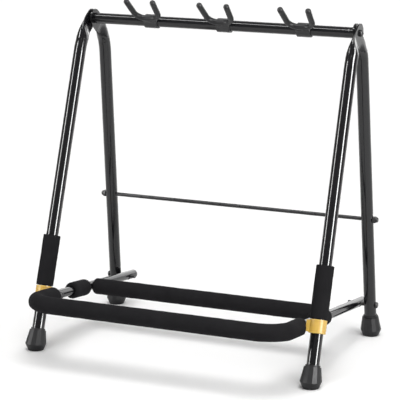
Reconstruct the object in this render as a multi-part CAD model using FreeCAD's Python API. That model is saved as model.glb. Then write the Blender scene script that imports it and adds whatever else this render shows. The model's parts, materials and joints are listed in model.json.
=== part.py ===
import FreeCAD, Part
import math
import os
from FreeCAD import Placement, Rotation, Vector

# Folding rack that holds three guitars side by side: two leg pairs hinged at a top
# crossbar, a padded cradle low down between them, and three sliding neck yokes.
# Millimetres, +X right, +Y back, +Z up. The parts are built about the crossbar axis
# and moved at the end, so that the origin is the middle of the footprint.

# --- driving dimensions ------------------------------------------------------------
pivot_height = 655.4          # crossbar axis above the floor

leg_od = 25.4
leg_wall = 1.5
front_aim_y = -32.6           # straight part of the front leg, produced to the pivot's height
front_foot_y = -268.5         # front leg axis at the floor
rear_aim_y = 37.7
rear_foot_y = 109.1
front_aim_x = 298.0
front_foot_x = 301.8
rear_aim_x = 288.5
rear_foot_x = 299.8
leg_floor_gap = 8.0           # open end of the leg tube above the floor, along the leg

plate_width = 38.2            # flattened top of a leg
plate_thickness = 3.0
bend_length = 78.0            # of the leg's line, replaced by the arc that ends at the pivot
widen_shares = (0.24, 0.66)    # parts of the arc between which the tube gets wider
flatten_shares = (0.30, 0.72)  # and between which it is pressed flat
flare_steps = 16

crossbar_od = 22.2
crossbar_wall = 1.5
crossbar_half = 288.5
insert_length = 40.0          # threaded plug in each end of the crossbar
insert_screw_inset = 10.3
insert_screw_tilt = 33.0      # above the horizontal, in degrees
insert_screw_radius = 1.5
insert_screw_head_radius = 2.4
insert_screw_head_height = 0.8

bolt_radius = 4.0
bolt_head_radius = 7.0
bolt_head_height = 4.8
spacer_thickness = 5.0
spacer_radius = 11.0

tie_rod_height = 257.6
tie_rod_radius = 4.0
nut_flats = 13.0
nut_height = 6.0
nut_dome_radius = 5.6

foot_height = 41.5            # rubber foot, along the leg
foot_top_radius = 17.0
foot_wide_radius = 21.4
foot_base_radius = 16.2
foot_wide_height = 12.5       # widest ring above the floor
foot_sides = 14
foot_lip_radius = 14.6
foot_lip_height = 3.5

hinge_height = 111.0          # cradle pivot on the front leg
latch_height = 68.1           # latch pin on the rear leg
collar_rise = 1.6             # middle of the collar above the cradle pivot
collar_length = 27.0
collar_od = 34.4
collar_boss_width = 24.0
washer_thickness = 1.1        # between the collar's boss and the cradle arm
collar_rib_count = 4
collar_rib_depth = 0.5
collar_rib_width = 2.2
sleeve_gap = 1.0
sleeve_length = 105.0
sleeve_od = 36.0

arm_x = 270.0                 # axis of each cradle arm
arm_od = 19.05
arm_wall = 1.5
front_reach = 125.8           # front bar ahead of the cradle pivot
corner_radius = 55.0
arm_tail = 30.5               # arm behind the latch pin
rear_bar_od = 18.0
rear_bar_setback = 155.7      # rear bar behind the cradle pivot
plug_depth = 12.0
plug_cap = 3.0
bush_radius = 6.0

front_foam_od = 35.4
rear_foam_od = 34.4
side_foam_od = 35.0
front_foam_end = 11.0         # from the cradle pivot to the end of the front foam
side_foam_start = 64.0
side_foam_end = 128.0
relief_radius = 25.0          # the foam is pressed flat where it passes the collar

latch_pin_radius = 4.25
latch_pin_overhang = 10.0     # past the inner side of the arm
latch_head_radius = 6.6
latch_head_height = 4.6
fold_ratio = 2.1              # cradle turn for each turn of the rear legs

yoke_places = {"left": -155.5, "middle": 7.5, "right": 182.2}
saddle_length = 30.0
saddle_wall = 3.2
fork_base_spread = 51.0       # between the prong axes at the base
fork_tip_spread = 59.0
fork_depth = 57.3             # prong length from the fork's base
fork_bend = 20.0
fork_rod_radius = 3.2
fork_coat_radius = 6.0
fork_tilt = 41.0              # prongs above the horizontal, in degrees
fork_base_y = -19.5
fork_base_z = 8.5
neck_radius = 5.0
yoke_screw_radius = 2.5

running_gap = 0.05            # radial, round a pin that turns in its hole
slide_gap = 0.08              # radial, yoke saddle on the crossbar
side_gap = 0.3                # between faces of pieces that move past each other

# --- derived sizes -----------------------------------------------------------------
leg_radius = leg_od / 2
leg_bore = leg_radius - leg_wall
arm_radius = arm_od / 2
arm_bore = arm_radius - arm_wall
rear_bar_radius = rear_bar_od / 2
crossbar_radius = crossbar_od / 2
crossbar_bore = crossbar_radius - crossbar_wall
pin_hole = bolt_radius + running_gap
x_axis = Vector(1, 0, 0)
pivot = Vector(0, 0, pivot_height)
rear_plate_x = crossbar_half + plate_thickness / 2
front_plate_x = rear_plate_x + plate_thickness + spacer_thickness


def leg_line(side, aim_x, aim_y, foot_x, foot_y):
    """Foot point and unit direction up the straight part of one leg."""
    foot = Vector(side * foot_x, foot_y, 0)
    up = (Vector(side * aim_x, aim_y, pivot_height) - foot).normalize()
    return foot, up


def front_leg_line(side):
    return leg_line(side, front_aim_x, front_aim_y, front_foot_x, front_foot_y)


def rear_leg_line(side):
    return leg_line(side, rear_aim_x, rear_aim_y, rear_foot_x, rear_foot_y)


def at_height(foot, up, height):
    """Point of a leg axis at a height above the floor."""
    return foot + up * (height / up.z)


front_foot, front_up = front_leg_line(1)
rear_foot, rear_up = rear_leg_line(1)
hinge = at_height(front_foot, front_up, hinge_height)
latch = at_height(rear_foot, rear_up, latch_height)
arm_run = math.hypot(latch.y - hinge.y, latch.z - hinge.z)
arm_slope = math.degrees(math.atan2(latch.z - hinge.z, latch.y - hinge.y))
flat_share = flatten_shares[1]
boss_x = arm_x + arm_radius + side_gap + washer_thickness
relief_x = boss_x - side_gap

# --- shape helpers -----------------------------------------------------------------


def rod(start, direction, radius, length):
    return Part.makeCylinder(radius, length, start, direction)


def ring(start, direction, outer, inner, length):
    return rod(start, direction, outer, length).cut(rod(start, direction, inner, length))


def cross_rod(x_low, x_high, y, z, radius):
    """Cylinder along X between two places, whichever order they come in."""
    low, high = sorted((x_low, x_high))
    return rod(Vector(low, y, z), x_axis, radius, high - low)


def dome(side, x, y, z, radius, height):
    """Low rounded head whose flat face is at x and which points out to one side."""
    disc = rod(Vector(x, y, z), x_axis * side, radius, height)
    outer = [edge for edge in disc.Edges if abs(edge.CenterOfMass.x - x) > height * 0.9]
    return disc.makeFillet(height * 0.6, outer)


def hexagon(side, x, y, z, flats, height):
    corner = flats / math.sqrt(3)
    points = []
    for step in range(7):
        turn = math.radians(60 * step)
        points.append(Vector(x, y + corner * math.cos(turn), z + corner * math.sin(turn)))
    return Part.Face(Part.makePolygon(points)).extrude(x_axis * side * height)


def bent_path(points, radius):
    """Open wire through the points, with each inner corner rounded to the radius."""
    edges = []
    start = points[0]
    for before, corner, after in zip(points, points[1:], points[2:]):
        back = (before - corner).normalize()
        ahead = (after - corner).normalize()
        half_turn = (math.pi - back.getAngle(ahead)) / 2
        reach = radius * math.tan(half_turn)
        arc_start = corner + back * reach
        arc_end = corner + ahead * reach
        inward = (back + ahead).normalize()
        arc_middle = corner + inward * (radius / math.cos(half_turn) - radius)
        edges.append(Part.makeLine(start, arc_start))
        edges.append(Part.Arc(arc_start, arc_middle, arc_end).toShape())
        start = arc_end
    edges.append(Part.makeLine(start, points[-1]))
    return Part.Wire(edges)


def round_bar(points, bend, radius):
    """Solid round bar along a bent path."""
    path = bent_path(points, bend)
    first = (points[1] - points[0]).normalize()
    circle = Part.Wire(Part.makeCircle(radius, points[0], first))
    return path.makePipeShell([circle], True, False)


def oval(centre, across, normal, width, depth, corner_across, corner_normal):
    """Closed section of four arcs or lines, between a circle and a flat strip."""
    u = Vector(across)
    v = Vector(normal)
    corners = []
    for su, sv in ((1, 1), (-1, 1), (-1, -1), (1, -1)):
        corners.append(centre + u * (su * corner_across) + v * (sv * corner_normal))
    middles = [centre + v * (depth / 2), centre - u * (width / 2),
               centre - v * (depth / 2), centre + u * (width / 2)]
    edges = []
    for index in range(4):
        start = corners[index]
        end = corners[(index + 1) % 4]
        straight = (start + end).multiply(0.5)
        if straight.distanceToPoint(middles[index]) < 1e-6:
            edges.append(Part.makeLine(start, end))
        else:
            edges.append(Part.Arc(start, middles[index], end).toShape())
    return Part.Wire(edges)


def mix(start, end, share):
    return start + (end - start) * share


def eased(share, limits):
    """0 before the first limit, 1 after the second and a soft rise between them."""
    rise = min(1.0, max(0.0, (share - limits[0]) / (limits[1] - limits[0])))
    return rise * rise * (3 - 2 * rise)


def flare(stations, tube_od, flat_width, flat_depth):
    """Solid that goes from the round tube to the flat strip through the stations."""
    quarter = tube_od / 2 * math.sqrt(0.5)
    wires = []
    for centre, across, normal, wide, flat in stations:
        wires.append(oval(centre, across, normal,
                          mix(tube_od, flat_width, wide), mix(tube_od, flat_depth, flat),
                          mix(quarter, (flat_width - flat_depth) / 2, wide),
                          mix(quarter, flat_depth / 2, flat)))
    return Part.makeLoft(wires, True, True)

# --- legs --------------------------------------------------------------------------


class LegTop:
    """Arc that leaves the line of a leg as a tangent and ends at the crossbar axis."""

    def __init__(self, foot, up, plate_x):
        self.plate_x = plate_x
        along = Vector(0, up.y, up.z).normalize()
        flat_foot = Vector(plate_x, foot.y, 0)
        self.top = Vector(plate_x, 0, pivot_height)
        reach = (self.top - flat_foot).dot(along)
        nearest = flat_foot + along * reach
        offset = (self.top - nearest).Length
        inward = (self.top - nearest).normalize()
        self.radius = (bend_length ** 2 + offset ** 2) / (2 * offset)
        self.turn = 2 * math.atan2(offset, bend_length)
        start = nearest - along * bend_length
        self.centre = start + inward * self.radius
        self.inward = inward
        self.along = along
        self.start = foot + up * (start.z / up.z)
        self.slope = up.x / math.hypot(up.y, up.z)

    def outward(self, share):
        angle = self.turn * share
        return self.along * math.sin(angle) - self.inward * math.cos(angle)

    def direction(self, share):
        angle = self.turn * share
        return self.along * math.cos(angle) + self.inward * math.sin(angle)

    def point(self, share, offset=0.0):
        return self.centre + self.outward(share) * (self.radius + offset)

    def stations(self):
        """Sections of the tube from round to flat, with the drift in X taken out."""
        drift = self.start.x - self.plate_x
        sections = []
        for step in range(flare_steps + 1):
            left = 1 - step / flare_steps
            share = flat_share * (1 - left)
            centre = self.point(share) + x_axis * (drift * left)
            direction = (self.direction(share) + x_axis * (self.slope * left)).normalize()
            across = x_axis.cross(direction).normalize()
            sections.append((centre, across, direction.cross(across).normalize(),
                             eased(share, widen_shares), eased(share, flatten_shares)))
        return sections


def make_leg(foot, up, plate_x):
    """Round tube whose top curves over to the crossbar and is pressed flat."""
    top = LegTop(foot, up, plate_x)
    tube_start = foot + up * leg_floor_gap
    tube_length = (top.start - tube_start).Length
    stations = top.stations()
    leg = rod(tube_start, up, leg_radius, tube_length)
    leg = leg.fuse(flare(stations, leg_od, plate_width, plate_thickness))
    leg = leg.fuse(make_plate(top))
    inner_flare = flare(stations[:-4], leg_od - 2 * leg_wall, plate_width - 5, 0.3)
    leg = leg.cut(rod(tube_start, up, leg_bore, tube_length)).cut(inner_flare)
    hole = cross_rod(plate_x - plate_thickness, plate_x + plate_thickness, 0, pivot_height,
                     pin_hole)
    return leg.cut(hole)


def make_plate(top):
    """Curved flat strip from the flare to the pivot, rounded about the pivot bolt."""
    half = plate_width / 2
    middle = (flat_share + 1) / 2
    tip = top.top + top.direction(1) * half
    edges = [Part.Arc(top.point(flat_share, half), top.point(middle, half),
                      top.point(1, half)).toShape(),
             Part.Arc(top.point(1, half), tip, top.point(1, -half)).toShape(),
             Part.Arc(top.point(1, -half), top.point(middle, -half),
                      top.point(flat_share, -half)).toShape(),
             Part.makeLine(top.point(flat_share, -half), top.point(flat_share, half))]
    face = Part.Face(Part.Wire(edges))
    face.translate(x_axis * (-plate_thickness / 2))
    return face.extrude(x_axis * plate_thickness)


def make_front_leg(side):
    foot, up = front_leg_line(side)
    leg = make_leg(foot, up, side * front_plate_x)
    inner_wall = cross_rod(side * (arm_x + arm_radius), side * hinge.x,
                           hinge.y, hinge.z, bush_radius)
    return leg.cut(inner_wall)


def make_rear_leg(side):
    foot, up = rear_leg_line(side)
    leg = make_leg(foot, up, side * rear_plate_x)
    for height, radius in ((tie_rod_height, tie_rod_radius), (latch_height, latch_pin_radius)):
        place = at_height(foot, up, height)
        through = cross_rod(place.x - leg_od, place.x + leg_od, place.y, place.z, radius)
        leg = leg.cut(through)
    return leg


def make_foot(foot, up):
    """Faceted rubber foot: a spreading faceted body over a round cone that meets the floor."""
    across = Vector(0, 1, 0).cross(up).normalize()
    other = up.cross(across)
    wires = []
    wide = foot_wide_radius / math.cos(math.pi / foot_sides)
    slope = (wide - foot_top_radius) / (foot_height - foot_wide_height)
    for along, radius in ((-10.0, wide + slope * (foot_wide_height + 10.0)),
                          (foot_height, foot_top_radius)):
        points = []
        for step in range(foot_sides + 1):
            turn = 2 * math.pi * (step + 0.5) / foot_sides
            offset = across * math.cos(turn) + other * math.sin(turn)
            points.append(foot + up * along + offset * radius)
        wires.append(Part.makePolygon(points))
    body = Part.makeLoft(wires, True, True)
    spread = (foot_wide_radius - foot_base_radius) / foot_wide_height
    wide_centre = foot + up * foot_wide_height
    cone_height = foot_height * 1.5
    cone = Part.makeCone(foot_base_radius, foot_base_radius + spread * cone_height,
                         cone_height, Vector(wide_centre.x, wide_centre.y, 0))
    lip = rod(foot + up * (foot_height - 1.0), up, foot_lip_radius, foot_lip_height + 1.0)
    socket = rod(foot + up * leg_floor_gap, up, leg_radius, foot_height)
    return body.common(cone).fuse(lip).cut(socket)


# --- top: crossbar, pivot bolts and yokes ------------------------------------------


def make_crossbar():
    start = pivot - x_axis * crossbar_half
    bar = ring(start, x_axis, crossbar_radius, crossbar_bore, 2 * crossbar_half)
    for side in (-1, 1):
        bar = bar.cut(insert_screw_axis(side, insert_screw_radius, crossbar_radius + 1))
    return bar


def insert_screw_direction(side):
    """The right screw is at the upper front, the left one at the upper back."""
    tilt = math.radians(insert_screw_tilt)
    return Vector(0, -side * math.cos(tilt), math.sin(tilt))


def insert_screw_axis(side, radius, length):
    place = pivot + x_axis * (side * (crossbar_half - insert_screw_inset))
    return rod(place, insert_screw_direction(side), radius, length)


def make_insert(side):
    start = pivot + x_axis * (side * (crossbar_half - insert_length))
    insert = ring(start, x_axis * side, crossbar_bore, bolt_radius, insert_length)
    return insert.cut(insert_screw_axis(side, insert_screw_radius, crossbar_radius))


def make_insert_screw(side):
    shank = insert_screw_axis(side, insert_screw_radius, crossbar_radius)
    shank = shank.cut(rod(pivot - x_axis * crossbar_half, x_axis, bolt_radius,
                          2 * crossbar_half))
    head = insert_screw_axis(side, insert_screw_head_radius,
                             crossbar_radius + insert_screw_head_height)
    head = head.cut(rod(pivot - x_axis * crossbar_half, x_axis, crossbar_radius,
                        2 * crossbar_half))
    return shank.fuse(head)


def make_pivot_bolt(side):
    head_x = side * (front_plate_x + plate_thickness / 2 + side_gap)
    head = dome(side, head_x, 0, pivot_height, bolt_head_radius, bolt_head_height)
    shank_end = side * (crossbar_half - insert_length * 0.6)
    shank = cross_rod(shank_end, head_x, 0, pivot_height, bolt_radius)
    socket = hexagon(side, head_x + side * bolt_head_height * 0.45, 0, pivot_height, 5.0,
                     bolt_head_height)
    return shank.fuse(head).cut(socket)


def make_spacer(side):
    start = pivot + x_axis * (side * (rear_plate_x + plate_thickness / 2))
    return ring(start, x_axis * side, spacer_radius, pin_hole, spacer_thickness - side_gap)


def fork_points(centre_x):
    tilt = math.radians(fork_tilt)
    reach = Vector(0, -math.cos(tilt), math.sin(tilt)) * fork_depth
    base = pivot + Vector(centre_x, fork_base_y, fork_base_z)
    low = x_axis * (fork_base_spread / 2)
    high = x_axis * (fork_tip_spread / 2)
    return [base - high + reach, base - low, base + low, base + high + reach]


def make_neck(centre_x):
    """Short stub that joins the fork's base to the saddle."""
    offset = Vector(0, fork_base_y, fork_base_z)
    start = pivot + x_axis * centre_x
    return rod(start, offset, neck_radius, offset.Length)


def saddle_body(centre_x):
    outer = crossbar_radius + saddle_wall
    start = pivot + x_axis * (centre_x - saddle_length / 2)
    return rod(start, x_axis, outer, saddle_length)


def make_fork(centre_x):
    bar = round_bar(fork_points(centre_x), fork_bend, fork_rod_radius)
    return bar.fuse(make_neck(centre_x).cut(saddle_body(centre_x)))


def make_coat(centre_x):
    points = fork_points(centre_x)
    coat = round_bar(points, fork_bend, fork_coat_radius)
    for tip in (points[0], points[-1]):
        coat = coat.fuse(Part.makeSphere(fork_coat_radius, tip))
    return coat.cut(round_bar(points, fork_bend, fork_rod_radius)).cut(make_neck(centre_x))


def make_saddle(centre_x):
    body = saddle_body(centre_x)
    rims = [edge for edge in body.Edges if edge.Curve.TypeId == "Part::GeomCircle"]
    saddle = body.makeFillet(1.0, rims)
    start = pivot + x_axis * (centre_x - saddle_length / 2)
    saddle = saddle.cut(rod(start, x_axis, crossbar_radius + slide_gap, saddle_length))
    return saddle.cut(yoke_screw_axis(centre_x))


def yoke_screw_axis(centre_x):
    """Bore for the set screw, low at the back of the saddle."""
    return rod(pivot + x_axis * centre_x, Vector(0, 1, -1), yoke_screw_radius,
               crossbar_radius + saddle_wall)


def make_yoke_screw(centre_x):
    start = pivot + x_axis * (centre_x - saddle_length / 2)
    clear = rod(start, x_axis, crossbar_radius + 2 * slide_gap, saddle_length)
    return yoke_screw_axis(centre_x).cut(clear)


# --- rear frame fittings -----------------------------------------------------------


def tie_rod_nut_x():
    """Outer face of the rear leg at the tie rod."""
    place = at_height(rear_foot, rear_up, tie_rod_height)
    return place, place.x + leg_radius


def seat_on_rear_leg(side, shape):
    """Cut the underside of a head or nut to the round of the rear leg."""
    foot, up = rear_leg_line(side)
    return shape.cut(rod(foot, up, leg_radius, pivot_height / 2))


def make_tie_rod():
    place, face_x = tie_rod_nut_x()
    end = face_x + nut_height
    return cross_rod(-end, end, place.y, place.z, tie_rod_radius)


def make_tie_rod_nut(side):
    place, face_x = tie_rod_nut_x()
    x = side * face_x
    nut = hexagon(side, x, place.y, place.z, nut_flats, nut_height)
    cap = dome(side, x + side * nut_height, place.y, place.z, nut_dome_radius, 5.0)
    hole = cross_rod(x - side, x + side * nut_height, place.y, place.z, tie_rod_radius)
    return seat_on_rear_leg(side, nut.fuse(cap).cut(hole))


def make_latch_pin(side):
    head_x = side * (latch.x + leg_radius)
    inner = arm_x - arm_radius - latch_pin_overhang
    shank = cross_rod(side * inner, head_x, latch.y, latch.z, latch_pin_radius)
    head = dome(side, head_x, latch.y, latch.z, latch_head_radius, latch_head_height)
    return shank.fuse(seat_on_rear_leg(side, head))


# --- front frame fittings ----------------------------------------------------------


def collar_start(side):
    foot, up = front_leg_line(side)
    return at_height(foot, up, hinge_height) + up * (collar_rise - collar_length / 2), up


def make_collar(side):
    """Plastic collar round the front leg with a flat boss towards the cradle arm."""
    start, up = collar_start(side)
    outer = collar_od / 2
    body = rod(start, up, outer, collar_length)
    rims = [edge for edge in body.Edges if edge.Curve.TypeId == "Part::GeomCircle"]
    body = body.makeFillet(1.2, rims)
    pitch = (collar_length - 9.0) / (collar_rib_count - 1)
    for number in range(collar_rib_count):
        along = 4.5 + number * pitch - collar_rib_width / 2
        body = body.cut(ring(start + up * along, up, outer + 1, outer - collar_rib_depth,
                             collar_rib_width))
    middle = start + up * (collar_length / 2)
    boss = Part.makeBox(side * (middle.x) - boss_x, collar_boss_width, collar_length - 4.0)
    corner_x = boss_x if side > 0 else middle.x
    turn = math.degrees(math.atan2(-up.y, up.z))
    local = Placement(Vector(0, middle.y, middle.z), Rotation(x_axis, turn))
    boss.translate(Vector(corner_x, -collar_boss_width / 2, -(collar_length - 4.0) / 2))
    boss.Placement = local.multiply(boss.Placement)
    collar = body.fuse(boss).cut(rod(start - up, up, leg_radius, collar_length + 2))
    return collar.cut(pivot_shank(side, 0))


def pivot_shank(side, grow):
    """Cradle pivot bolt shank, from the arm's inner side into the leg."""
    inner = arm_x - arm_radius - side_gap
    return cross_rod(side * inner, side * hinge.x, hinge.y, hinge.z, bolt_radius + grow)


def make_cradle_bolt(side):
    head_x = side * (arm_x - arm_radius - side_gap)
    head = dome(-side, head_x, hinge.y, hinge.z, bolt_head_radius - 0.5, bolt_head_height)
    return pivot_shank(side, 0).fuse(head)


def make_cradle_washer(side):
    start = Vector(side * boss_x, hinge.y, hinge.z)
    return ring(start, x_axis * -side, bush_radius + 2, bolt_radius, washer_thickness)


def make_leg_insert(side):
    """Rivet nut in the leg's inner wall, which the cradle bolt screws into."""
    foot, up = front_leg_line(side)
    nut = cross_rod(side * (arm_x + arm_radius), side * hinge.x, hinge.y, hinge.z, bush_radius)
    nut = nut.common(rod(foot, up, leg_radius, pivot_height / 2))
    return nut.cut(pivot_shank(side, 0))


def make_leg_sleeve(side):
    start, up = collar_start(side)
    start = start + up * (collar_length + sleeve_gap)
    return ring(start, up, sleeve_od / 2, leg_radius, sleeve_length)


# --- cradle, drawn flat: Y runs back along the arms from the pivot -------------------


def place_cradle(shape):
    """Tilt a piece drawn flat about the pivot line and lift it to the pivot."""
    tilted = Placement(Vector(0, hinge.y, hinge.z), Rotation(x_axis, arm_slope))
    shape.Placement = tilted.multiply(shape.Placement)
    return shape


def cradle_points(end_y):
    """Path of the U from one arm end, round the front bar, to the other arm end."""
    return [Vector(-arm_x, end_y, 0), Vector(-arm_x, -front_reach, 0),
            Vector(arm_x, -front_reach, 0), Vector(arm_x, end_y, 0)]


def latch_notch(side):
    """Open slot along the way that the pin leaves the arm as the rack folds."""
    pin_motion = x_axis.cross(latch - pivot) * -1
    arm_motion = x_axis.cross(latch - hinge) * fold_ratio
    way = pin_motion - arm_motion
    way.x = 0
    angle = math.degrees(math.atan2(way.z, way.y)) - arm_slope
    half = latch_pin_radius + side_gap
    slot = Part.makeBox(2 * arm_od, 2 * arm_od, 2 * half,
                        Vector(side * arm_x - arm_od, 0, -half))
    slot.rotate(Vector(0, 0, 0), x_axis, angle)
    slot.translate(Vector(0, arm_run, 0))
    seat = cross_rod(side * arm_x - arm_od, side * arm_x + arm_od, arm_run, 0, half)
    return slot.fuse(seat)


def make_cradle_tube():
    points = cradle_points(arm_run + arm_tail)
    tube = round_bar(points, corner_radius, arm_radius)
    tube = tube.cut(round_bar(points, corner_radius, arm_bore))
    for side in (-1, 1):
        tube = tube.cut(latch_notch(side))
        tube = tube.cut(cross_rod(side * arm_x - arm_od, side * arm_x + arm_od, 0, 0,
                                  bush_radius))
    return place_cradle(tube)


def make_rear_bar():
    bar = ring(Vector(-arm_x, rear_bar_setback, 0), x_axis, rear_bar_radius,
               rear_bar_radius - arm_wall, 2 * arm_x)
    for side in (-1, 1):
        bar = bar.cut(rod(Vector(side * arm_x, rear_bar_setback - arm_od, 0),
                          Vector(0, 1, 0), arm_radius, 2 * arm_od))
    return place_cradle(bar)


def make_arm_bush(side):
    start = Vector(side * arm_x - arm_radius, 0, 0)
    return place_cradle(ring(start, x_axis, bush_radius, pin_hole, arm_od))


def make_arm_plug(side):
    end = Vector(side * arm_x, arm_run + arm_tail, 0)
    back = Vector(0, 1, 0)
    inside = rod(end - back * plug_depth, back, arm_bore, plug_depth)
    cap = rod(end, back, arm_radius, plug_cap)
    rim = [edge for edge in cap.Edges if abs(edge.CenterOfMass.y - end.y - plug_cap) < 0.01]
    return place_cradle(inside.fuse(cap.makeFillet(1.2, rim)))


def make_front_foam():
    points = cradle_points(-front_foam_end)
    foam = round_bar(points, corner_radius, front_foam_od / 2)
    foam = foam.cut(round_bar(points, corner_radius, arm_radius))
    for side in (-1, 1):
        foam = foam.cut(cross_rod(side * relief_x, side * (relief_x + arm_od), 0, 0,
                                  relief_radius))
    return place_cradle(foam)


def make_rear_foam():
    half = arm_x - arm_radius - side_gap
    foam = ring(Vector(-half, rear_bar_setback, 0), x_axis, rear_foam_od / 2,
                rear_bar_radius, 2 * half)
    return place_cradle(foam)


def make_side_foam(side):
    start = Vector(side * arm_x, side_foam_start, 0)
    foam = ring(start, Vector(0, 1, 0), side_foam_od / 2, arm_radius,
                side_foam_end - side_foam_start)
    return place_cradle(foam)


# --- assembly ----------------------------------------------------------------------


def both(maker):
    """One node that holds the left and the right copy of a fitting."""
    return Part.makeCompound([maker(-1), maker(1)])


def build_nodes():
    nodes = {}
    for name, side in (("left", -1), ("right", 1)):
        foot, up = front_leg_line(side)
        nodes["front_leg_" + name] = make_front_leg(side)
        nodes["front_foot_" + name] = make_foot(foot, up)
        foot, up = rear_leg_line(side)
        nodes["rear_leg_" + name] = make_rear_leg(side)
        nodes["rear_foot_" + name] = make_foot(foot, up)
        nodes["hinge_collar_" + name] = make_collar(side)
        nodes["leg_sleeve_" + name] = make_leg_sleeve(side)
        nodes["latch_pin_" + name] = make_latch_pin(side)
        nodes["side_foam_" + name] = make_side_foam(side)
    nodes["crossbar"] = make_crossbar()
    nodes["crossbar_inserts"] = both(make_insert)
    nodes["insert_screws"] = both(make_insert_screw)
    nodes["pivot_bolts"] = both(make_pivot_bolt)
    nodes["pivot_spacers"] = both(make_spacer)
    nodes["tie_rod"] = make_tie_rod()
    nodes["tie_rod_nuts"] = both(make_tie_rod_nut)
    nodes["cradle_bolts"] = both(make_cradle_bolt)
    nodes["cradle_washers"] = both(make_cradle_washer)
    nodes["leg_inserts"] = both(make_leg_insert)
    nodes["cradle_tube"] = make_cradle_tube()
    nodes["cradle_rear_bar"] = make_rear_bar()
    nodes["arm_bushes"] = both(make_arm_bush)
    nodes["arm_plugs"] = both(make_arm_plug)
    nodes["front_foam"] = make_front_foam()
    nodes["rear_foam"] = make_rear_foam()
    for name, centre_x in yoke_places.items():
        nodes["yoke_saddle_" + name] = make_saddle(centre_x)
        nodes["yoke_fork_" + name] = make_fork(centre_x)
        nodes["yoke_coat_" + name] = make_coat(centre_x)
        nodes["yoke_screw_" + name] = make_yoke_screw(centre_x)
    return nodes


def footprint_middle():
    """Y halfway between the front foam's front and the arm plugs' back."""
    tilt = math.radians(arm_slope)
    front = hinge.y - front_reach * math.cos(tilt) - front_foam_od / 2
    cap_end = arm_run + arm_tail + plug_cap
    rim = arm_radius - 1.2
    back = hinge.y + cap_end * math.cos(tilt) + rim * abs(math.sin(tilt))
    return (front + back) / 2


os.makedirs("parts", exist_ok=True)
shift = Vector(0, -footprint_middle(), 0)
for node_name, shape in build_nodes().items():
    shape.translate(shift)
    shape.exportStep("parts/" + node_name + ".step")
print("crossbar axis y", round(shift.y, 3), "z", pivot_height)
print("cradle pivot y", round(hinge.y + shift.y, 3), "z", round(hinge.z, 3))
print("latch pin y", round(latch.y + shift.y, 3), "z", round(latch.z, 3))
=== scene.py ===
import json
import math

import bmesh
import bpy
import numpy as np
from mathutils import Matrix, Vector, noise


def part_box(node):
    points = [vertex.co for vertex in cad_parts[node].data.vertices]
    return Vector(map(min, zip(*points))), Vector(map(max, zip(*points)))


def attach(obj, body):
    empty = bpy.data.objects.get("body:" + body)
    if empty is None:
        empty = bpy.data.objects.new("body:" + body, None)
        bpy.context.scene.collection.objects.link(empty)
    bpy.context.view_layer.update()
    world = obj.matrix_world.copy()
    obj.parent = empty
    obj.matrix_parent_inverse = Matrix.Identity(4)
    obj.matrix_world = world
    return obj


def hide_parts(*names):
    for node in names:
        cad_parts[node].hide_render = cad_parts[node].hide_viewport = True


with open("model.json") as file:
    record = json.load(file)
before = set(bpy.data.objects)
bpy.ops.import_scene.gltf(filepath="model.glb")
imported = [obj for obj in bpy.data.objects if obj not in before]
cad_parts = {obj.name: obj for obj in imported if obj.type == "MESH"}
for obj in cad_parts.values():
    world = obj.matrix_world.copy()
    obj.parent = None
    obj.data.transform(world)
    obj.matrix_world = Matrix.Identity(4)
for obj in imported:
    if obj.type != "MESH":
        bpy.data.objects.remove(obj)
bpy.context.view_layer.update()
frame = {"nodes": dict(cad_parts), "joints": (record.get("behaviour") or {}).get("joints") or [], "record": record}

# Looks of a folding guitar rack: foam sleeves, rubber feet, soft yoke coats, paint and
# plastic, a pale floor and studio light. Metres, +X right, +Y back, +Z up.

# --- sizes -------------------------------------------------------------------------
CAMERA_AZIMUTH = 23.655        # degrees, from straight in front towards the rack's right
CAMERA_ELEVATION = 13.112
CAMERA_DISTANCE = 3.672
CAMERA_TARGET = Vector((0.0036, 0.0, 0.3132))
CAMERA_LENS = 162.64           # millimetres
CAMERA_SENSOR = 36.0           # millimetres wide

FRONT_BRIGHTNESS = 0.25        # of the surroundings
BACK_BRIGHTNESS = 1.0
OVERHEAD_STRENGTH = 2.25       # watts per square metre
OVERHEAD_ANGLE = 44.0          # degrees, how wide the overhead light looks
STRIP_RADIANCE = 34.0          # of the strips that show as highlights
FILL_RADIANCE = 1.6            # of the fill that only lights matt surfaces
SOFTBOX_DISTANCE = 2.6         # from the middle of the rack
SOFTBOX_AIM = Vector((0.0, 0.0, 0.3))
FLOOR_HALF = 12.0              # half of the floor's side

FOAM_STEP = 0.004              # length of one ring of the foam mesh
FOAM_SIDES = 56
CUT_EDGE = 0.0015              # rounding of the cut ends of a foam sleeve
SOFT_EDGE = 0.0055             # rounding where the foam is drawn in at its ends
EDGE_STEPS = 8                 # in the quarter circle of such an edge
EDGE_CLEARANCE = 1.2           # first full ring behind the edge, in edge lengths
FOAM_UNEVEN = 0.00035          # how far the foam's skin rises and falls
SWELL_WIDE = 55.0              # cells per metre of the skin's wide swells
SWELL_FINE = 140.0             # and of its fine ones, at half the height
SWELL_SINK = 0.8               # how far the skin lies lower, in heights of a wide swell
U_CORNER_RADIUS = 0.055        # bend of the cradle's U tube
FRONT_FOAM_END = 0.011         # from the cradle pivot to the end of the front foam
COLLAR_REACH = 0.0265          # from the cradle pivot, where the foam passes a collar
COLLAR_GAP = 0.0003            # between the foam and the collar's boss
ARM_TUBE_RADIUS = 0.0095
REAR_TUBE_RADIUS = 0.009
LEG_TUBE_RADIUS = 0.0127

nodes = frame["nodes"]
bodies = frame["record"]["behaviour"]["bodies"]
joints = {joint["name"]: joint for joint in frame["joints"]}


def body_holding(node):
    """Name of the body that a CAD node belongs to."""
    return next(name for name, members in bodies.items() if node in members)

# --- material helpers --------------------------------------------------------------


def new_material(name):
    material = bpy.data.materials.new(name)
    material.use_nodes = True
    tree = material.node_tree
    return material, tree, tree.nodes["Principled BSDF"]


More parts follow.
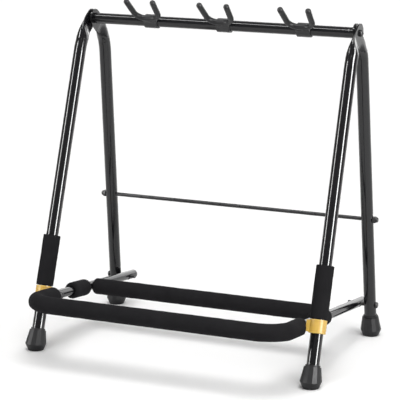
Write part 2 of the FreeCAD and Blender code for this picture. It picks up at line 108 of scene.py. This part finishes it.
def add_noise(tree, scale, detail=4.0, roughness=0.5, stretch=(1, 1, 1)):
    """Noise in object space, at so many cells per metre."""
    coordinates = tree.nodes.new("ShaderNodeTexCoord")
    mapping = tree.nodes.new("ShaderNodeMapping")
    mapping.inputs["Scale"].default_value = stretch
    texture = tree.nodes.new("ShaderNodeTexNoise")
    texture.inputs["Scale"].default_value = scale
    texture.inputs["Detail"].default_value = detail
    texture.inputs["Roughness"].default_value = roughness
    tree.links.new(coordinates.outputs["Object"], mapping.inputs["Vector"])
    tree.links.new(mapping.outputs["Vector"], texture.inputs["Vector"])
    return texture


def add_ramp(tree, source, low, high, start=0.3, end=0.7):
    """Blends two values or colours by a texture's output."""
    ramp = tree.nodes.new("ShaderNodeValToRGB")
    ramp.color_ramp.elements[0].position = start
    ramp.color_ramp.elements[1].position = end
    ramp.color_ramp.elements[0].color = as_colour(low)
    ramp.color_ramp.elements[1].color = as_colour(high)
    tree.links.new(source, ramp.inputs["Fac"])
    return ramp.outputs["Color"]


def as_colour(value):
    if isinstance(value, (int, float)):
        return (value, value, value, 1)
    return (*value, 1)


def mottle(tree, shader, socket, low, high, scale, detail, roughness=0.5, stretch=(1, 1, 1)):
    """Lets a socket of the shader wander between two values or colours."""
    texture = add_noise(tree, scale, detail, roughness, stretch)
    tree.links.new(add_ramp(tree, texture.outputs["Fac"], low, high), shader.inputs[socket])


def add_bump(tree, shader, height, strength, distance, below=None):
    bump = tree.nodes.new("ShaderNodeBump")
    bump.inputs["Strength"].default_value = strength
    bump.inputs["Distance"].default_value = distance
    tree.links.new(height, bump.inputs["Height"])
    if below is not None:
        tree.links.new(below.outputs["Normal"], bump.inputs["Normal"])
    tree.links.new(bump.outputs["Normal"], shader.inputs["Normal"])
    return bump


def paint_material(name, dark, light, rough_low, rough_high, grain=900.0, bump=0.12):
    """Black powder coat: slight cloudiness, orange peel and uneven gloss."""
    material, tree, shader = new_material(name)
    mottle(tree, shader, "Base Color", dark, light, 22.0, 5.0)
    mottle(tree, shader, "Roughness", rough_low, rough_high, 60.0, 6.0, 0.6)
    peel = add_noise(tree, grain, 2.0)
    add_bump(tree, shader, peel.outputs["Fac"], bump, 0.0003)
    return material


def foam_material():
    """Closed-cell foam: matt, with fine open cells and faint cloudiness."""
    material, tree, shader = new_material("foam_closed_cell")
    mottle(tree, shader, "Base Color", (0.0135, 0.013, 0.0145), (0.0175, 0.017, 0.0185),
           30.0, 6.0)
    shader.inputs["Roughness"].default_value = 0.9
    shader.inputs["Specular IOR Level"].default_value = 0.06
    skin = add_noise(tree, 240.0, 3.0)
    soft = add_bump(tree, shader, skin.outputs["Fac"], 0.25, 0.0006)
    coordinates = tree.nodes.new("ShaderNodeTexCoord")
    cells = tree.nodes.new("ShaderNodeTexVoronoi")
    cells.inputs["Scale"].default_value = 1300.0
    tree.links.new(coordinates.outputs["Object"], cells.inputs["Vector"])
    add_bump(tree, shader, cells.outputs["Distance"], 0.35, 0.0004, soft)
    return material


def rubber_material(name, dark, light, roughness, specular=0.5):
    """Moulded rubber or hard plastic: faint cloudiness, scuffs and a fine grain."""
    material, tree, shader = new_material(name)
    shader.inputs["Specular IOR Level"].default_value = specular
    mottle(tree, shader, "Base Color", dark, light, 45.0, 5.0)
    mottle(tree, shader, "Roughness", roughness, roughness + 0.16, 160.0, 6.0, 0.65)
    grain = add_noise(tree, 1500.0, 3.0)
    add_bump(tree, shader, grain.outputs["Fac"], 0.2, 0.0002)
    return material


def yellow_material():
    """Yellow plastic that lets a little light in, with uneven gloss."""
    material, tree, shader = new_material("yellow_moulded_plastic")
    mottle(tree, shader, "Base Color", (0.80, 0.50, 0.085), (0.86, 0.57, 0.12), 35.0, 4.0)
    mottle(tree, shader, "Roughness", 0.34, 0.46, 120.0, 4.0)
    shader.inputs["Subsurface Weight"].default_value = 0.08
    shader.inputs["Subsurface Radius"].default_value = (0.004, 0.003, 0.001)
    grain = add_noise(tree, 1100.0, 2.0)
    add_bump(tree, shader, grain.outputs["Fac"], 0.1, 0.0002)
    return material


def steel_material():
    material, tree, shader = new_material("zinc_plated_steel")
    mottle(tree, shader, "Base Color", (0.42, 0.42, 0.43), (0.58, 0.58, 0.60), 90.0, 5.0)
    shader.inputs["Metallic"].default_value = 1.0
    mottle(tree, shader, "Roughness", 0.25, 0.42, 300.0, 4.0, 0.6, (6, 1, 1))
    return material


MATERIALS = {
    "black_tube": paint_material("gloss_black_paint", (0.007, 0.007, 0.0085),
                                 (0.010, 0.010, 0.0115), 0.09, 0.14, 700.0, 0.05),
    "black_rod": paint_material("satin_black_paint", (0.010, 0.010, 0.011),
                                (0.014, 0.014, 0.015), 0.32, 0.42),
    "black_hardware": paint_material("black_fastener_finish", (0.012, 0.012, 0.0135),
                                     (0.020, 0.020, 0.022), 0.24, 0.36, 1400.0, 0.2),
    "zinc_steel": steel_material(),
    "black_plastic": rubber_material("black_moulded_plastic", (0.012, 0.012, 0.0135),
                                     (0.017, 0.017, 0.019), 0.34),
    "yellow_plastic": yellow_material(),
    "foot_rubber": rubber_material("foot_rubber_moulded", (0.010, 0.010, 0.0115),
                                   (0.015, 0.015, 0.0165), 0.40, 0.3),
    "yoke_rubber": rubber_material("yoke_coat_rubber", (0.009, 0.009, 0.0105),
                                   (0.013, 0.013, 0.0145), 0.34, 0.35),
    "foam": foam_material(),
}


def paint_cad_nodes():
    for entry in frame["record"]["subparts"]:
        shown = nodes[entry["node"]]
        shown.data.materials.clear()
        shown.data.materials.append(MATERIALS[entry["material_slot"]])

# --- foam --------------------------------------------------------------------------


def axis_of(node):
    """Ends of the axis and outer radius of a CAD node that is a straight round sleeve."""
    points = np.array([vertex.co for vertex in nodes[node].data.vertices])
    low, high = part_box(node)
    middle = (np.array(low) + np.array(high)) / 2
    spread = points - points.mean(axis=0)
    direction = np.linalg.svd(spread, full_matrices=False)[2][0]
    along = (points - middle) @ direction
    across = (points - middle) - np.outer(along, direction)
    radius = float(np.linalg.norm(across, axis=1).max())
    start = middle + direction * along.min()
    end = middle + direction * along.max()
    return Vector(start), Vector(end), radius


def straight_path(start, end):
    count = max(2, round((end - start).length / FOAM_STEP))
    return [start.lerp(end, step / count) for step in range(count + 1)]


def end_profile(outer, inner, edge):
    """Distances from a sleeve's end, and radii there, from its bore out over the soft edge."""
    profile = [(0.0, inner), (0.0, (inner + outer - edge) / 2)]
    for step in range(EDGE_STEPS + 1):
        turn = math.radians(90 / EDGE_STEPS * step)
        profile.append((edge * (1 - math.cos(turn)), outer - edge * (1 - math.sin(turn))))
    return profile


def sleeve_sections(path, outer, inner, edge):
    """Centre, direction and radius of each ring: out along the skin and back in the bore."""
    last = len(path) - 1
    tangents = [(path[min(i + 1, last)] - path[max(i - 1, 0)]).normalized()
                for i in range(last + 1)]
    profile = end_profile(outer, inner, edge)
    sections = []
    for offset, radius in profile:
        sections.append((path[0] + tangents[0] * offset, tangents[0], radius))
    for index in range(1, last):
        from_end = min((path[index] - path[0]).length, (path[index] - path[-1]).length)
        if from_end > edge * EDGE_CLEARANCE:
            sections.append((path[index], tangents[index], outer))
    for offset, radius in reversed(profile):
        sections.append((path[-1] - tangents[-1] * offset, tangents[-1], radius))
    for point, tangent in list(zip(path, tangents))[-2:0:-1]:
        sections.append((point, tangent, inner))
    return sections


def add_ring(mesh, centre, side, up, radius, is_skin):
    """Ring of vertices round a centre; on the skin they rise and fall a little."""
    ring = []
    for step in range(FOAM_SIDES):
        turn = 2 * math.pi * step / FOAM_SIDES
        outward = side * math.cos(turn) + up * math.sin(turn)
        place = centre + outward * radius
        if is_skin:
            swell = noise.noise(place * SWELL_WIDE) + 0.5 * noise.noise(place * SWELL_FINE)
            place = place + outward * (FOAM_UNEVEN * (swell - SWELL_SINK))
        ring.append(mesh.verts.new(place))
    return ring


def join_rings(mesh, rings):
    """Faces between each ring and the next, and from the last one back to the first."""
    for index, ring in enumerate(rings):
        after = rings[(index + 1) % len(rings)]
        for step in range(FOAM_SIDES):
            following = (step + 1) % FOAM_SIDES
            mesh.faces.new((ring[step], ring[following], after[following], after[step]))


def sleeve_mesh(name, path, outer, inner, edge):
    """Closed foam sleeve along a path: ends with soft edges and a slightly uneven skin."""
    sections = sleeve_sections(path, outer, inner, edge)
    middle_radius = inner + (outer - inner) * 0.5
    mesh = bmesh.new()
    side = sections[0][1].orthogonal().normalized()
    rings = []
    for centre, tangent, radius in sections:
        side = (side - tangent * side.dot(tangent)).normalized()
        up = tangent.cross(side)
        rings.append(add_ring(mesh, centre, side, up, radius, radius > middle_radius))
    join_rings(mesh, rings)
    bmesh.ops.recalc_face_normals(mesh, faces=mesh.faces)
    data = bpy.data.meshes.new(name)
    mesh.to_mesh(data)
    mesh.free()
    for polygon in data.polygons:
        polygon.use_smooth = True
    piece = bpy.data.objects.new(name, data)
    bpy.context.scene.collection.objects.link(piece)
    return piece


def finish_foam(piece, node):
    """Gives a foam piece its material, puts it on the body that holds a CAD sleeve, and hides that sleeve."""
    piece.data.materials.append(MATERIALS["foam"])
    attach(piece, body_holding(node))
    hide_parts(node)


def make_straight_foam(node, inner, edge):
    start, end, outer = axis_of(node)
    piece = sleeve_mesh("foam_" + node, straight_path(start, end), outer, inner, edge)
    finish_foam(piece, node)


def front_foam_path():
    """U-shaped line from the left pivot, round the front bar, to the right pivot."""
    hinge = Vector(joints["cradle_fold"]["pos_m"])
    pin_low, pin_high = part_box("latch_pin_right")
    latch = (pin_low + pin_high) / 2
    back = Vector((0, latch.y - hinge.y, latch.z - hinge.z)).normalized()
    side_low, side_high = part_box("side_foam_right")
    arm_x = (side_low.x + side_high.x) / 2
    foam_low, foam_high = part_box("front_foam")
    outer = foam_high.x - arm_x
    reach = (hinge.y - (foam_low.y + outer)) / back.y
    corner_start = reach - U_CORNER_RADIUS
    right = Vector((1, 0, 0))
    hinge.x = 0

    def at(x, ahead):
        return hinge + right * x - back * ahead

    path = straight_path(at(-arm_x, FRONT_FOAM_END), at(-arm_x, corner_start))
    steps = max(4, round(U_CORNER_RADIUS * math.pi / 2 / FOAM_STEP))
    inset = arm_x - U_CORNER_RADIUS
    for step in range(1, steps):
        turn = math.pi / 2 * step / steps
        path.append(at(-inset - U_CORNER_RADIUS * math.cos(turn),
                       corner_start + U_CORNER_RADIUS * math.sin(turn)))
    path += straight_path(at(-inset, reach), at(inset, reach))
    for step in range(1, steps):
        turn = math.pi / 2 * (1 - step / steps)
        path.append(at(inset + U_CORNER_RADIUS * math.cos(turn),
                       corner_start + U_CORNER_RADIUS * math.sin(turn)))
    path += straight_path(at(arm_x, corner_start), at(arm_x, FRONT_FOAM_END))
    return path, outer


def press_flat(piece, limit):
    """Presses the foam in where it passes the collars, as the CAD solid is."""
    hinge = Vector(joints["cradle_fold"]["pos_m"])
    for vertex in piece.data.vertices:
        place = vertex.co
        near = math.hypot(place.y - hinge.y, place.z - hinge.z)
        if near < COLLAR_REACH and abs(place.x) > limit:
            place.x = math.copysign(limit, place.x)


def make_front_foam():
    path, outer = front_foam_path()
    piece = sleeve_mesh("foam_front", path, outer, ARM_TUBE_RADIUS, SOFT_EDGE)
    boss_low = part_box("hinge_collar_right")[0]
    press_flat(piece, boss_low.x - COLLAR_GAP)
    finish_foam(piece, "front_foam")


def make_foam():
    for side in ("left", "right"):
        make_straight_foam("leg_sleeve_" + side, LEG_TUBE_RADIUS, CUT_EDGE)
        make_straight_foam("side_foam_" + side, ARM_TUBE_RADIUS, SOFT_EDGE)
    make_straight_foam("rear_foam", REAR_TUBE_RADIUS, SOFT_EDGE)
    make_front_foam()

# --- floor, light and camera -------------------------------------------------------


def make_floor():
    data = bpy.data.meshes.new("floor")
    half = FLOOR_HALF
    corners = [(-half, -half, 0), (half, -half, 0), (half, half, 0), (-half, half, 0)]
    data.from_pydata(corners, [], [(0, 1, 2, 3)])
    floor = bpy.data.objects.new("floor", data)
    bpy.context.scene.collection.objects.link(floor)
    material, tree, shader = new_material("pale_floor")
    mottle(tree, shader, "Base Color", (0.95, 0.948, 0.945), (0.955, 0.953, 0.95), 1.5, 2.0)
    shader.inputs["Roughness"].default_value = 0.9
    shader.inputs["Specular IOR Level"].default_value = 0.0
    data.materials.append(material)


def aim(light, place, target):
    """Puts a light at a place, facing a target, and adds it to the scene."""
    light.location = place
    light.rotation_euler = (Vector(target) - Vector(place)).to_track_quat("-Z", "Y").to_euler()
    bpy.context.scene.collection.objects.link(light)


def make_softbox(name, azimuth, elevation, width, height, radiance, for_gloss):
    """Studio softbox: one kind is seen by gloss alone, the other lights matt surfaces."""
    data = bpy.data.lights.new(name, "AREA")
    data.shape = "RECTANGLE"
    data.size = width
    data.size_y = height
    data.energy = radiance * math.pi * width * height
    light = bpy.data.objects.new(name, data)
    light.visible_diffuse = not for_gloss
    light.visible_glossy = for_gloss
    turn = math.radians(azimuth)
    rise = math.radians(elevation)
    away = Vector((math.sin(turn) * math.cos(rise), -math.cos(turn) * math.cos(rise),
                   math.sin(rise)))
    aim(light, SOFTBOX_AIM + away * SOFTBOX_DISTANCE, SOFTBOX_AIM)


def make_studio():
    """Surroundings that are dim towards the front and bright behind the rack."""
    world = bpy.data.worlds.new("studio")
    world.use_nodes = True
    tree = world.node_tree
    direction = tree.nodes.new("ShaderNodeTexCoord")
    parts = tree.nodes.new("ShaderNodeSeparateXYZ")
    ramp = tree.nodes.new("ShaderNodeValToRGB")
    ramp.color_ramp.elements[0].position = 0.35
    ramp.color_ramp.elements[0].color = as_colour(FRONT_BRIGHTNESS)
    ramp.color_ramp.elements[1].position = 0.75
    ramp.color_ramp.elements[1].color = as_colour(BACK_BRIGHTNESS)
    tree.links.new(direction.outputs["Generated"], parts.inputs["Vector"])
    tree.links.new(parts.outputs["Y"], ramp.inputs["Fac"])
    tree.links.new(ramp.outputs["Color"], tree.nodes["Background"].inputs["Color"])
    bpy.context.scene.world = world


def make_lights():
    make_studio()
    data = bpy.data.lights.new("overhead", "SUN")
    data.energy = OVERHEAD_STRENGTH
    data.angle = math.radians(OVERHEAD_ANGLE)
    aim(bpy.data.objects.new("overhead", data), (0.3, -0.6, 3.0), (0, 0, 0))
    make_softbox("strip_left", -52.0, 18.0, 0.35, 2.1, STRIP_RADIANCE * 0.8, True)
    make_softbox("strip_right", 72.0, 18.0, 0.6, 2.1, STRIP_RADIANCE, True)
    make_softbox("backdrop", 170.0, 11.0, 4.0, 0.8, STRIP_RADIANCE * 0.035, True)
    make_softbox("strip_top", -30.0, 64.0, 2.4, 0.22, STRIP_RADIANCE * 0.5, True)
    make_softbox("fill_right", 70.0, 30.0, 1.4, 1.8, FILL_RADIANCE, False)


def make_camera():
    azimuth = math.radians(CAMERA_AZIMUTH)
    elevation = math.radians(CAMERA_ELEVATION)
    back = Vector((math.sin(azimuth) * math.cos(elevation),
                   -math.cos(azimuth) * math.cos(elevation), math.sin(elevation)))
    data = bpy.data.cameras.new("camera")
    data.sensor_width = CAMERA_SENSOR
    data.lens = CAMERA_LENS
    camera = bpy.data.objects.new("camera", data)
    camera.location = CAMERA_TARGET + back * CAMERA_DISTANCE
    camera.rotation_euler = (-back).to_track_quat("-Z", "Y").to_euler()
    bpy.context.scene.collection.objects.link(camera)
    bpy.context.scene.camera = camera


paint_cad_nodes()
make_foam()
make_floor()
make_lights()
make_camera()
bpy.context.scene.view_settings.view_transform = "Standard"
